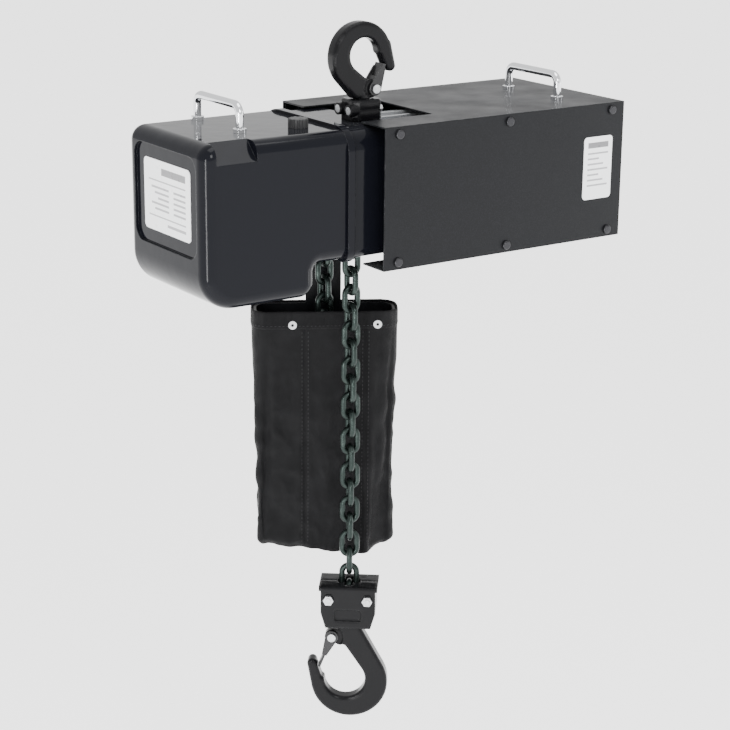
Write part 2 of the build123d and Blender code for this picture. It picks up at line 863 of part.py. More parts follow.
# Top hook: the same shape turned over, its bowl resting at the origin
top_bowl = 17
top_neck_top = 43
top_ear = (-12, 34)
top_thick = 15
top_tip = 15
yoke_height = 21
yoke_width = 34
yoke_depth = 30
yoke_top = case_top + yoke_height
pin_radius = 4
pin_drop = 10
groove_radius = 5
top_place = Pos(0, 0, -top_bowl) * Rot(0, 180, 0)
groove_z = yoke_top - pin_drop

with BuildPart() as top_hook:
    add(
        top_place
        * hook_blank(
            top_bowl,
            0,
            back=20,
            crown=16,
            tip=top_tip,
            neck_half=11,
            neck_top=-yoke_top - top_bowl - gap,
            ear=top_ear,
            thick=top_thick,
        )
    )
    with BuildSketch(Plane.XY.offset(yoke_top + shank_overlap)):
        Circle(shank_radius)
    extrude(amount=case_top + gap - yoke_top - shank_overlap)
    with BuildSketch(Plane.XY.offset(groove_z - pin_radius - gap)):
        Circle(shank_radius + 1)
        Circle(groove_radius, mode=Mode.SUBTRACT)
    extrude(amount=2 * (pin_radius + gap), mode=Mode.SUBTRACT)
save(top_hook, "top_hook")

with BuildPart() as top_latch:
    add(top_place * latch_blank(top_ear, top_bowl, top_tip))
save(top_latch, "top_latch")

with BuildPart() as top_latch_rivet:
    add(top_place * rivet_blank(top_ear))
save(top_latch_rivet, "top_latch_rivet")

pin_y = groove_radius + pin_radius + gap
pin_stand_out = 10

with BuildPart() as suspension_yoke:
    with BuildSketch(Plane.XY.offset(case_top)):
        Rectangle(yoke_width, yoke_depth)
        chamfer(vertices(), 5)
    extrude(amount=yoke_height)
    chamfer(suspension_yoke.faces().sort_by(Axis.Z)[-1].edges(), 1.5)
    with BuildSketch(Plane.YZ.offset(-yoke_width / 2 - pin_stand_out / 2)):
        for side in (-1, 1):
            with Locations((side * pin_y, groove_z)):
                Circle(pin_radius + 2)
    extrude(amount=pin_stand_out)
    with BuildSketch(Plane.XY.offset(case_top)):
        with Locations((tenon_x, 0)):
            Rectangle(tenon_length - 2 * fit, tenon_width - 2 * fit)
    extrude(amount=-tenon_depth)
    with BuildSketch(Plane.XY.offset(case_top)):
        Circle(shank_radius + gap)
    extrude(amount=yoke_height, mode=Mode.SUBTRACT)
    with BuildSketch(Plane.YZ.offset(-yoke_width)):
        for side in (-1, 1):
            with Locations((side * pin_y, groove_z)):
                Circle(pin_radius)
    extrude(amount=2 * yoke_width, mode=Mode.SUBTRACT)
save(suspension_yoke, "suspension_yoke")

with BuildPart() as yoke_pins:
    for side in (-1, 1):
        round_bar(-yoke_width / 2 - pin_stand_out / 2, yoke_width / 2, pin_radius, groove_z, side * pin_y)
save(yoke_pins, "yoke_pins")

# ---------------------------------------------------------------- hook block
block_drop = 575
block_height = 47
block_width = 62
block_foot_width = 48
block_depth = 40
block_lip = 5
lip_overhang = 2
block_shift = 5
bolt_spread = 20.5
bolt_drop = 14
bolt_shank = 3
nut_radius = 5.6
nut_height = 4
nut_outer = 12
nut_thick = 8.4
block_floor = 8
chain_pin_radius = 3
block_top = -block_drop
block_bottom = block_top - block_height
end_link_z = first_link_z - last_link * chain_pitch
chain_pin_z = end_link_z - chain_pitch / 2 - link_play + chain_pin_radius + 0.1
flat_slot_z = end_link_z + chain_pitch / 2 - chain_wire - wide_gap
block_place = Pos(load_line_x, 0, 0) * Rot(0, 0, block_turn)
nut_z0 = block_bottom + block_floor + gap
nut_z1 = nut_z0 + nut_thick


def block_half(side):
    """Half of the hook block in its own frame; side is -1 in front and 1 behind."""
    with BuildPart() as half:
        with BuildSketch(Plane.XZ.offset(-side * fit / 2)) as outline:
            with BuildLine() as edge:
                Polyline(
                    (-block_width / 2, block_top),
                    (block_width / 2, block_top),
                    (block_width / 2, block_top - block_lip),
                    (block_width / 2 - lip_overhang, block_top - block_lip),
                    (block_width / 2 - lip_overhang, block_bottom + 17),
                    (block_foot_width / 2, block_bottom),
                    (-block_foot_width / 2, block_bottom),
                    (-block_width / 2 + lip_overhang, block_bottom + 17),
                    (-block_width / 2 + lip_overhang, block_top - block_lip),
                    (-block_width / 2, block_top - block_lip),
                    close=True,
                )
            make_face(edge.edges())
        extrude(outline.sketch, amount=-side * (block_depth - fit) / 2)
        outer_face = half.faces().filter_by(Axis.Y).sort_by(Axis.Y)[-1 if side > 0 else 0]
        fillet(outer_face.edges(), 1.5)
        with BuildSketch(Plane.XZ.offset(-side * block_depth / 2)) as recess:
            with Locations((0, block_bottom + 15)):
                RectangleRounded(28, 13, 2)
        extrude(recess.sketch, amount=side * 1.5, mode=Mode.SUBTRACT)
        with BuildSketch(Plane.XY.offset(block_top)) as slots:
            Rectangle(chain_width + 2 * wide_gap, chain_wire + 2 * wide_gap)
        extrude(slots.sketch, amount=flat_slot_z - block_top, mode=Mode.SUBTRACT)
        with BuildSketch(Plane.XY.offset(block_top)) as standing:
            Rectangle(chain_wire + 2 * wide_gap, chain_width + 2 * wide_gap)
        extrude(standing.sketch, amount=nut_z1 - block_top, mode=Mode.SUBTRACT)
        with BuildSketch(Plane.XY.offset(block_bottom)) as shank_hole:
            Circle(shank_radius + gap)
        extrude(shank_hole.sketch, amount=block_height / 2, mode=Mode.SUBTRACT)
        with BuildSketch(Plane.XY.offset(nut_z0 - gap)) as nut_room:
            Circle(nut_outer + gap)
        extrude(nut_room.sketch, amount=nut_thick + 2 * gap, mode=Mode.SUBTRACT)
        with BuildSketch(Plane.YZ.offset(-bolt_spread + 6)) as pin_hole:
            with Locations((0, chain_pin_z)):
                Circle(chain_pin_radius)
        extrude(pin_hole.sketch, amount=2 * (bolt_spread - 6), mode=Mode.SUBTRACT)
        with BuildSketch(Plane.XZ) as bolt_holes:
            with Locations((-bolt_spread, block_top - bolt_drop), (bolt_spread, block_top - bolt_drop)):
                Circle(bolt_shank + fit)
        extrude(bolt_holes.sketch, amount=block_depth, both=True, mode=Mode.SUBTRACT)
    return block_place * half.part


with BuildPart() as block_front:
    add(block_half(-1))
save(block_front, "block_front")

with BuildPart() as block_back:
    add(block_half(1))
save(block_back, "block_back")

with BuildPart() as chain_pin:
    with BuildSketch(Plane.YZ.offset(-bolt_spread + 6)) as pin_round:
        with Locations((0, chain_pin_z)):
            Circle(chain_pin_radius)
    extrude(amount=2 * (bolt_spread - 6))
chain_pin.part = block_place * chain_pin.part
save(chain_pin, "chain_pin")

with BuildPart() as block_bolts:
    with BuildSketch(Plane.XZ.offset(-block_depth / 2 - nut_height)):
        with Locations((-bolt_spread, block_top - bolt_drop), (bolt_spread, block_top - bolt_drop)):
            Circle(bolt_shank)
    extrude(amount=block_depth + 2 * nut_height + 1)
    for face_y in (-block_depth / 2 - nut_height, block_depth / 2):
        with BuildSketch(Plane.XZ.offset(-face_y)):
            with Locations((-bolt_spread, block_top - bolt_drop), (bolt_spread, block_top - bolt_drop)):
                RegularPolygon(nut_radius, 6)
        extrude(amount=-nut_height)
block_bolts.part = block_place * block_bolts.part
save(block_bolts, "block_bolts")

# Bottom hook: larger than the top one, its shank through the floor of the block
low_bowl = 22
low_shift = 4
low_neck_top = 64
low_ear = (-14, 48)
low_thick = 17
low_tip = 14
low_bowl_z = block_bottom - gap - low_neck_top
low_place = block_place * Pos(-low_shift, 0, low_bowl_z)

with BuildPart() as bottom_hook:
    add(
        low_place
        * hook_blank(
            low_bowl,
            low_shift,
            back=24,
            crown=22,
            tip=low_tip,
            neck_half=11,
            neck_top=low_neck_top,
            ear=low_ear,
            thick=low_thick,
        )
    )
    with BuildSketch(Plane.XY.offset(block_bottom - gap - shank_overlap)):
        with Locations((load_line_x, 0)):
            Circle(shank_radius)
    extrude(amount=nut_z1 - block_bottom + gap + shank_overlap)
save(bottom_hook, "bottom_hook")

with BuildPart() as bottom_hook_nut:
    with BuildSketch(Plane.XY.offset(nut_z0)):
        with Locations((load_line_x, 0)):
            Circle(nut_outer)
            Circle(shank_radius, mode=Mode.SUBTRACT)
    extrude(amount=nut_thick)
save(bottom_hook_nut, "bottom_hook_nut")

with BuildPart() as bottom_latch:
    add(low_place * latch_blank(low_ear, low_bowl, low_tip))
save(bottom_latch, "bottom_latch")

with BuildPart() as bottom_latch_rivet:
    add(low_place * rivet_blank(low_ear))
save(bottom_latch_rivet, "bottom_latch_rivet")

# ---------------------------------------------------------------- chain bag on its hanger
bag_turn = -30
bag_drop = 283
bag_height = 264
bag_width = 152
bag_depth = 48
bag_corner = 18
bag_cloth = 2
frame_height = 20
frame_bar = 3
plate_width = 37
plate_offset = 20
eyelet_places = (-34, 54)
eyelet_radius = 4.4
eyelet_drop = 14
bag_top = -bag_drop
bag_frame = Plane(
    origin=(load_line_x, slack_y, 0),
    x_dir=(cos(radians(bag_turn)), sin(radians(bag_turn)), 0),
    z_dir=(0, 0, 1),
)

with BuildPart() as chain_bag:
    with BuildSketch(bag_frame.offset(bag_top)):
        RectangleRounded(bag_width, bag_depth, bag_corner)
    extrude(amount=-bag_height)
    with BuildSketch(bag_frame.offset(bag_top)):
        RectangleRounded(bag_width - 2 * bag_cloth, bag_depth - 2 * bag_cloth, bag_corner - bag_cloth)
    extrude(amount=bag_cloth - bag_height, mode=Mode.SUBTRACT)
save(chain_bag, "chain_bag")

frame_width = bag_width - 2 * bag_cloth - 2 * gap
frame_depth = bag_depth - 2 * bag_cloth - 2 * gap
frame_corner = bag_corner - bag_cloth - gap

with BuildPart() as bag_hanger:
    with BuildSketch(bag_frame.offset(bag_top - 2)):
        RectangleRounded(frame_width, frame_depth, frame_corner)
        RectangleRounded(
            frame_width - 2 * frame_bar,
            frame_depth - 2 * frame_bar,
            frame_corner - frame_bar,
            mode=Mode.SUBTRACT,
        )
    extrude(amount=-frame_height)
    with BuildSketch(bag_frame.offset(case_bottom)):
        with Locations((0, frame_depth / 2 - frame_bar / 2)):
            Rectangle(plate_width, frame_bar)
    extrude(amount=bag_top - 2 - case_bottom)
    with BuildSketch(bag_frame.offset(case_bottom)):
        with Locations((0, frame_depth / 2)):
            Rectangle(plate_width, 14, align=(Align.CENTER, Align.MIN))
    extrude(amount=-frame_bar)
save(bag_hanger, "bag_hanger")

with BuildPart() as bag_eyelets:
    for spot in eyelet_places:
        eyelet_plane = Plane(
            origin=bag_frame.from_local_coords((spot, -bag_depth / 2, bag_top - eyelet_drop)),
            x_dir=bag_frame.x_dir,
            z_dir=-bag_frame.y_dir,
        )
        with BuildSketch(eyelet_plane):
            Circle(eyelet_radius)
            Circle(eyelet_radius / 3, mode=Mode.SUBTRACT)
        extrude(amount=1.2)
save(bag_eyelets, "bag_eyelets")

# ---------------------------------------------------------------- chain end stop
stop_radius = 15
stop_height = 14
stop_z = first_link_z - (guided_links + slack_links - 1) * chain_pitch

with BuildPart() as chain_stop:
    with BuildSketch(Plane.XY.offset(stop_z - stop_height / 2)):
        with Locations((load_line_x, slack_y)):
            Circle(stop_radius)
            Rectangle(chain_width + gap, chain_wire + gap, mode=Mode.SUBTRACT)
            Rectangle(chain_wire + gap, chain_width + gap, mode=Mode.SUBTRACT)
    extrude(amount=stop_height)
save(chain_stop, "chain_stop")

# ---------------------------------------------------------------- electrics
mount_x = fan_cover_x1 + 12
mount_thick = 2
floor_top = floor_z + sheet
mount_y0 = box_front + 12
mount_y1 = box_back - 12
contactor_size = (38, 42, 60)
contactor_count = 3
contactor_pitch = 46
transformer_size = (52, 70, 50)

with BuildPart() as electrics_plate:
    with BuildSketch(Plane.XY.offset(floor_top)):
        with Locations((mount_x, (mount_y0 + mount_y1) / 2)):
            Rectangle(mount_thick, mount_y1 - mount_y0, align=(Align.MIN, Align.CENTER))
    extrude(amount=box_height - 18)
    with BuildSketch(Plane.XY.offset(floor_top)):
        with Locations((mount_x, (mount_y0 + mount_y1) / 2)):
            Rectangle(22, mount_y1 - mount_y0, align=(Align.MIN, Align.CENTER))
    extrude(amount=mount_thick)
save(electrics_plate, "electrics_plate")

with BuildPart() as contactors:
    length, width, height = contactor_size
    with BuildSketch(Plane.YZ.offset(mount_x + mount_thick)):
        with Locations((drive_y, box_top - 18 - height / 2)):
            with GridLocations(contactor_pitch, 0, contactor_count, 1):
                Rectangle(width, height)
    extrude(amount=length)
    with BuildSketch(Plane.YZ.offset(mount_x + mount_thick + length)):
        with Locations((drive_y, box_top - 18 - height / 2)):
            with GridLocations(contactor_pitch, 0, contactor_count, 1):
                Rectangle(width * 0.6, height * 0.5)
    extrude(amount=8)
save(contactors, "contactors")

with BuildPart() as transformer:
    length, width, height = transformer_size
    with BuildSketch(Plane.XY.offset(floor_top)):
        with Locations((mount_x + 30, drive_y + 40)):
            Rectangle(length, width * 0.75, align=(Align.MIN, Align.CENTER))
    extrude(amount=height)
    with BuildSketch(Plane.XY.offset(floor_top + 10)):
        with Locations((mount_x + 30 + length / 4, drive_y + 40)):
            Rectangle(length / 2, width, align=(Align.MIN, Align.CENTER))
    extrude(amount=height - 20)
save(transformer, "transformer")

with BuildPart() as terminal_block:
    with BuildSketch(Plane.XY.offset(floor_top)):
        with Locations((mount_x + 34, drive_y - 52)):
            Rectangle(24, 60, align=(Align.MIN, Align.CENTER))
    extrude(amount=22)
    with BuildSketch(Plane.XY.offset(floor_top + 22)):
        with Locations((mount_x + 46, drive_y - 52)):
            with GridLocations(0, 9, 1, 6):
                Rectangle(12, 5)
    extrude(amount=-6, mode=Mode.SUBTRACT)
save(terminal_block, "terminal_block")
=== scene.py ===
import bmesh
import bpy
from math import cos, pi, radians, sin
from mathutils import Matrix, Vector
from mathutils.bvhtree import BVHTree
from mathutils.noise import noise as smooth_noise


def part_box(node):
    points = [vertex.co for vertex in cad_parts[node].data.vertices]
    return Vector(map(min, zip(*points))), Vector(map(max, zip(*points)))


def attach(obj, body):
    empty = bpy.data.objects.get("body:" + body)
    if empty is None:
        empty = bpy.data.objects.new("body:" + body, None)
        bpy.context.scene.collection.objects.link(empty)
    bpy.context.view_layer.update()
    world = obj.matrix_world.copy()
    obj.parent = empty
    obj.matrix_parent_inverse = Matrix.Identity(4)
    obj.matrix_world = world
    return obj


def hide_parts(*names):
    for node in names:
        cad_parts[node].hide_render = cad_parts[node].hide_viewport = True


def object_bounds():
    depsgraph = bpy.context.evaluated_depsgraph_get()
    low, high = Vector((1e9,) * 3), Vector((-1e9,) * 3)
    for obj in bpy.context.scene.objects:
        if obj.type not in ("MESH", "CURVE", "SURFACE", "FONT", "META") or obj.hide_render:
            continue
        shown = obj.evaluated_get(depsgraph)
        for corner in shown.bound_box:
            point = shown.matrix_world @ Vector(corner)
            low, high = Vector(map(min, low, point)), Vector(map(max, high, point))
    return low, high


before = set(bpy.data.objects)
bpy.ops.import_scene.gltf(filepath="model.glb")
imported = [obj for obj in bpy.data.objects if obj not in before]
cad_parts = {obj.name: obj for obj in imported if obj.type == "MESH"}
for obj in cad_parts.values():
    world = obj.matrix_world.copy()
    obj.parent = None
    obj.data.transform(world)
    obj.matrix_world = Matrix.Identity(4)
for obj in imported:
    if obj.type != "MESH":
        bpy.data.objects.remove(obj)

# An electric chain hoist hung by its top hook. Lengths are in metres and z is up.
frame_low, frame_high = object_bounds()

# ---------------------------------------------------------------- camera
# It looks at the front from the side of the gear cover and from a little above.
camera_place = Vector((-1.085, -1.59, 0.256))
camera_heading = radians(-34.49)
camera_dip = radians(17.11)
camera_roll = radians(0.53)
lens_data = bpy.data.cameras.new("camera")
lens_data.lens = 96.3
lens_data.sensor_width = 36
camera = bpy.data.objects.new("camera", lens_data)
camera.matrix_world = (
    Matrix.Translation(camera_place)
    @ Matrix.Rotation(camera_heading, 4, "Z")
    @ Matrix.Rotation(pi / 2 - camera_dip, 4, "X")
    @ Matrix.Rotation(camera_roll, 4, "Z")
)
bpy.context.scene.collection.objects.link(camera)
bpy.context.scene.camera = camera

# ---------------------------------------------------------------- studio
# The hoist hangs well above a pale floor that glows softly, in plain surroundings that are even
# above the horizon and brighter below it. Four soft lamps bring out the edges of the black paint.
floor_drop = 0.35
floor_half = 60
floor_glow = 1.5
sky_glow = 1.3
below_glow = 2.2
horizon_depth = 0.03
world = bpy.data.worlds.new("studio")
world.use_nodes = True
sky = world.node_tree
direction = sky.nodes.new("ShaderNodeTexCoord")
parts = sky.nodes.new("ShaderNodeSeparateXYZ")
horizon = sky.nodes.new("ShaderNodeMapRange")
horizon.interpolation_type = "SMOOTHSTEP"
horizon.inputs["From Min"].default_value = -horizon_depth
horizon.inputs["From Max"].default_value = 0
horizon.inputs["To Min"].default_value = below_glow
horizon.inputs["To Max"].default_value = sky_glow
sky.links.new(direction.outputs["Generated"], parts.inputs["Vector"])
sky.links.new(parts.outputs["Z"], horizon.inputs["Value"])
sky.links.new(horizon.outputs["Result"], sky.nodes["Background"].inputs["Strength"])
sky.nodes["Background"].inputs["Color"].default_value = (1, 1, 1, 1)
bpy.context.scene.world = world

floor_mesh = bpy.data.meshes.new("floor")
floor_z = frame_low.z - floor_drop
floor_sides = ((-1, -1), (1, -1), (1, 1), (-1, 1))
floor_corners = [(floor_half * x, floor_half * y, floor_z) for x, y in floor_sides]
floor_mesh.from_pydata(floor_corners, [], [(0, 1, 2, 3)])
floor = bpy.data.objects.new("floor", floor_mesh)
bpy.context.scene.collection.objects.link(floor)
floor_paint = bpy.data.materials.new("pale_floor")
floor_paint.use_nodes = True
floor_shader = floor_paint.node_tree.nodes["Principled BSDF"]
floor_shader.inputs["Base Color"].default_value = (0.95, 0.95, 0.95, 1)
floor_shader.inputs["Roughness"].default_value = 0.9
floor_shader.inputs["Emission Color"].default_value = (1, 1, 1, 1)
floor_shader.inputs["Emission Strength"].default_value = floor_glow
floor_mesh.materials.append(floor_paint)


def area_light(name, place, aim, width, height, power):
    """A soft rectangular light at `place`, turned towards `aim`."""
    data = bpy.data.lights.new(name, "AREA")
    data.shape = "RECTANGLE"
    data.size = width
    data.size_y = height
    data.energy = power
    light = bpy.data.objects.new(name, data)
    turn = (Vector(aim) - Vector(place)).to_track_quat("-Z", "Y").to_matrix().to_4x4()
    light.matrix_world = Matrix.Translation(place) @ turn
    bpy.context.scene.collection.objects.link(light)


body_centre = (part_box("gear_case")[0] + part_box("gear_case")[1]) / 2
area_light("overhead", (0.1, -0.3, 1.5), body_centre, 1.4, 0.9, 16)
area_light("cover_corner", (-1.5, -0.95, -0.35), body_centre, 0.14, 1.1, 22)
area_light("front", (-0.5, -1.9, 0.9), body_centre, 0.5, 0.7, 18)
area_light("hook_side", (1.6, -0.9, -0.2), (0, 0, -0.4), 0.25, 1.5, 8)


# ---------------------------------------------------------------- gear case and cover
# The middle housing and the deep cover of the gears, both cast in aluminium alloy and sprayed with
# thick black enamel: a wet gloss with a faint orange peel, rubbed at the edges, a little dust on
# top. Every finish here is a shader with noise in real sizes on its colour, roughness and bump.
def new_material(name, colour, metallic=0.0, roughness=0.5):
    """A material with its node tree and its shader."""
    material = bpy.data.materials.new(name)
    material.use_nodes = True
    tree = material.node_tree
    shader = tree.nodes["Principled BSDF"]
    shader.inputs["Base Color"].default_value = (*colour, 1)
    shader.inputs["Metallic"].default_value = metallic
    shader.inputs["Roughness"].default_value = roughness
    return material, tree, shader


def noise(tree, size, detail=3, stretch=(1, 1, 1)):
    """Noise whose blotches are about `size` metres wide."""
    place = tree.nodes.new("ShaderNodeTexCoord")
    mapping = tree.nodes.new("ShaderNodeMapping")
    mapping.inputs["Scale"].default_value = stretch
    pattern = tree.nodes.new("ShaderNodeTexNoise")
    pattern.inputs["Scale"].default_value = 1 / size
    pattern.inputs["Detail"].default_value = detail
    tree.links.new(place.outputs["Object"], mapping.inputs["Vector"])
    tree.links.new(mapping.outputs["Vector"], pattern.inputs["Vector"])
    return pattern.outputs["Fac"]


def spread(tree, value, low, high, to_low, to_high):
    """Maps `value` from low..high to to_low..to_high."""
    ramp = tree.nodes.new("ShaderNodeMapRange")
    tree.links.new(value, ramp.inputs["Value"])
    ramp.inputs["From Min"].default_value = low
    ramp.inputs["From Max"].default_value = high
    ramp.inputs["To Min"].default_value = to_low
    ramp.inputs["To Max"].default_value = to_high
    return ramp.outputs["Result"]


def roughen(tree, shader, pattern, low, high, smooth, rough):
    """Roughness from `smooth` to `rough` as `pattern` goes from `low` to `high`."""
    tree.links.new(spread(tree, pattern, low, high, smooth, rough), shader.inputs["Roughness"])


def math(tree, operation, first, second):
    """A maths node on two sockets or numbers."""
    node = tree.nodes.new("ShaderNodeMath")
    node.operation = operation
    for socket, value in zip(node.inputs, (first, second)):
        if isinstance(value, (int, float)):
            socket.default_value = value
        else:
            tree.links.new(value, socket)
    return node.outputs["Value"]


def tint(tree, shader, mask, colour):
    """Mixes `colour` over the shader's colour where `mask` is high."""
    mix = tree.nodes.new("ShaderNodeMix")
    mix.data_type = "RGBA"
    under = shader.inputs["Base Color"]
    if under.links:
        tree.links.new(under.links[0].from_socket, mix.inputs["A"])
    else:
        mix.inputs["A"].default_value = under.default_value
    mix.inputs["B"].default_value = (*colour, 1)
    tree.links.new(mask, mix.inputs["Factor"])
    tree.links.new(mix.outputs["Result"], under)


def relief(tree, shader, height, depth, edge=0.0):
    """Bump of `depth` metres from `height`, on edges rounded by `edge` metres."""
    bump = tree.nodes.new("ShaderNodeBump")
    bump.inputs["Distance"].default_value = depth
    tree.links.new(height, bump.inputs["Height"])
    under = shader.inputs["Normal"]
    if under.links:
        tree.links.new(under.links[0].from_socket, bump.inputs["Normal"])
    elif edge:
        round_off = tree.nodes.new("ShaderNodeBevel")
        round_off.inputs["Radius"].default_value = edge
        tree.links.new(round_off.outputs["Normal"], bump.inputs["Normal"])
    tree.links.new(bump.outputs["Normal"], under)


def edge_mask(tree, radius):
    """High along the sharp edges, broken up by noise."""
    geometry = tree.nodes.new("ShaderNodeNewGeometry")
    round_off = tree.nodes.new("ShaderNodeBevel")
    round_off.inputs["Radius"].default_value = radius
    turn = tree.nodes.new("ShaderNodeVectorMath")
    turn.operation = "DOT_PRODUCT"
    tree.links.new(geometry.outputs["Normal"], turn.inputs[0])
    tree.links.new(round_off.outputs["Normal"], turn.inputs[1])
    on_edge = spread(tree, turn.outputs["Value"], 0.97, 0.8, 0, 1)
    return math(tree, "MULTIPLY", on_edge, spread(tree, noise(tree, 0.011, 5), 0.5, 0.68, 0, 1))


def dust_mask(tree, amount):
    """High on faces that look up, in soft patches."""
    geometry = tree.nodes.new("ShaderNodeNewGeometry")
    split = tree.nodes.new("ShaderNodeSeparateXYZ")
    tree.links.new(geometry.outputs["Normal"], split.inputs["Vector"])
    upward = spread(tree, split.outputs["Z"], 0.5, 1, 0, 1)
    return math(tree, "MULTIPLY", upward, spread(tree, noise(tree, 0.05, 6), 0.35, 0.75, 0, amount))


def finish_nodes(material, *names):
    """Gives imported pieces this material."""
    for name in names:
        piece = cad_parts[name]
        if piece.material_slots:
            for held in piece.material_slots:
                held.material = material
        else:
            piece.data.materials.append(material)


enamel, tree, shader = new_material("black_enamel", (0.004, 0.0044, 0.0066))
shader.inputs["Specular IOR Level"].default_value = 0.12
roughen(tree, shader, noise(tree, 0.03, 5), 0.3, 0.7, 0.06, 0.13)
tint(tree, shader, dust_mask(tree, 0.04), (0.3, 0.31, 0.33))
tint(tree, shader, edge_mask(tree, 0.0012), (0.035, 0.037, 0.04))
relief(tree, shader, noise(tree, 0.014, 1), 0.00012, 0.0012)
relief(tree, shader, noise(tree, 0.0022, 2), 0.000012)
finish_nodes(enamel, "gear_cover", "gear_case")

# ---------------------------------------------------------------- electrics box
# The box over the motor and the electrics, folded from steel sheet with screwed front and back
# panels, with the fan's cover and the bag's hanger in the same satin powder coat: a fine grain,
# slow waves in the sheet and a lighter wear along the folds.
powder, tree, shader = new_material("powder_coat", (0.005, 0.0054, 0.0065))
shader.inputs["Specular IOR Level"].default_value = 0.14
roughen(tree, shader, noise(tree, 0.04, 6), 0.3, 0.7, 0.33, 0.45)
tint(tree, shader, spread(tree, noise(tree, 0.0009, 2), 0.45, 0.7, 0, 0.25), (0.02, 0.021, 0.024))
tint(tree, shader, dust_mask(tree, 0.05), (0.3, 0.31, 0.33))
tint(tree, shader, edge_mask(tree, 0.0011), (0.07, 0.072, 0.076))
relief(tree, shader, noise(tree, 0.0011, 3), 0.00009, 0.0009)
relief(tree, shader, noise(tree, 0.09, 1), 0.0004)
finish_nodes(powder, "box_shell", "box_front_panel", "box_back_panel", "fan_cover", "bag_hanger")

# ---------------------------------------------------------------- panel screws
# Steel screws in black oxide that hold the two panels to the folded shell. Their rims are rubbed
# by the driver, so the heads are a little brighter than the panel.
oxide, tree, shader = new_material("black_oxide", (0.035, 0.035, 0.038), 0.85, 0.35)
roughen(tree, shader, noise(tree, 0.003, 4), 0.3, 0.7, 0.25, 0.45)
tint(tree, shader, edge_mask(tree, 0.0006), (0.3, 0.3, 0.3))
relief(tree, shader, noise(tree, 0.0012, 3), 0.00003, 0.0003)
finish_nodes(oxide, "panel_screws")


# ---------------------------------------------------------------- labels
# White plastic film with a clear coat, stuck in the recess of the cover and on the box's front
# panel. Each has a grey heading block and rows of plain grey bars, with no lettering.
def printed_film(name, across, bars):
    """White film with grey bars, each (left, right, low, high, shade) as shares of the label."""
    material, tree, shader = new_material(name, (0.93, 0.94, 0.95))
    shader.inputs["Coat Weight"].default_value = 0.4
    roughen(tree, shader, noise(tree, 0.01, 4), 0.3, 0.7, 0.26, 0.36)
    place = tree.nodes.new("ShaderNodeTexCoord")
    split = tree.nodes.new("ShaderNodeSeparateXYZ")
    tree.links.new(place.outputs["Generated"], split.inputs["Vector"])
    along, upward = split.outputs[across], split.outputs["Z"]
    for left, right, low, high, shade in bars:
        past_left = math(tree, "GREATER_THAN", along, left)
        inside = math(tree, "MULTIPLY", past_left, math(tree, "LESS_THAN", along, right))
        inside = math(tree, "MULTIPLY", inside, math(tree, "GREATER_THAN", upward, low))
        inside = math(tree, "MULTIPLY", inside, math(tree, "LESS_THAN", upward, high))
        tint(tree, shader, inside, (shade, shade, shade * 1.04))
    relief(tree, shader, noise(tree, 0.004, 2), 0.00002, 0.0003)
    return material


end_bars = [(0.1, 0.62, 0.8, 0.9, 0.16), (0.1, 0.9, 0.7, 0.72, 0.3)]
for row in range(5):
    row_z = 0.6 - row * 0.075
    end_bars.append((0.1, 0.36, row_z, row_z + 0.03, 0.3))
    end_bars.append((0.46, 0.84 - 0.07 * (row % 3), row_z, row_z + 0.03, 0.3))
end_bars += [(0.1, 0.9, 0.2, 0.22, 0.3), (0.1, 0.5, 0.1, 0.14, 0.3)]
finish_nodes(printed_film("end_film", "Y", end_bars), "end_label")

box_bars = [(0.14, 0.86, 0.82, 0.91, 0.16)]
for row in range(7):
    row_z = 0.72 - row * 0.085
    box_bars.append((0.14, 0.86 - 0.16 * ((row * 2) % 3), row_z, row_z + 0.028, 0.32))
finish_nodes(printed_film("box_film", "X", box_bars), "box_label")

# ---------------------------------------------------------------- handles
# One bent steel bar on the cover and one on the box, polished and chrome plated, with faint
# rubbing marks from hands and straps. Each leg stands in a bright turned collar.
chrome, tree, shader = new_material("chrome", (0.78, 0.79, 0.81), 1, 0.06)
roughen(tree, shader, noise(tree, 0.006, 6, (1, 1, 4)), 0.35, 0.75, 0.035, 0.13)
relief(tree, shader, noise(tree, 0.01, 2), 0.00003, 0.0004)
finish_nodes(chrome, "cover_handle", "box_handle", "handle_collars")

# ---------------------------------------------------------------- hooks, yoke and hook block
# Drop-forged hooks, the forged yoke that carries the upper one and the two cast halves of the
# hook block, all in gloss black paint over an uneven skin, rubbed at the edges.
forged, tree, shader = new_material("forged_black", (0.004, 0.004, 0.0047))
shader.inputs["Specular IOR Level"].default_value = 0.14
roughen(tree, shader, noise(tree, 0.02, 3), 0.3, 0.7, 0.1, 0.2)
tint(tree, shader, edge_mask(tree, 0.0014), (0.03, 0.03, 0.031))
tint(tree, shader, dust_mask(tree, 0.02), (0.3, 0.3, 0.31))
relief(tree, shader, noise(tree, 0.018, 1), 0.0004, 0.0045)
relief(tree, shader, noise(tree, 0.004, 2), 0.00003)
finish_nodes(forged, "top_hook", "bottom_hook", "suspension_yoke", "block_front", "block_back")

# ---------------------------------------------------------------- hook latches
# Latches pressed from thin steel sheet that close the mouths of the hooks, painted black and worn
# to grey at the edges. Each turns on a rivet through the hook.
latch_paint, tree, shader = new_material("latch_black", (0.012, 0.012, 0.013), 0.3, 0.3)
roughen(tree, shader, noise(tree, 0.005, 4), 0.3, 0.7, 0.22, 0.4)
tint(tree, shader, edge_mask(tree, 0.0007), (0.22, 0.22, 0.22))
relief(tree, shader, noise(tree, 0.002, 3), 0.00005, 0.0005)
finish_nodes(latch_paint, "top_latch", "bottom_latch")

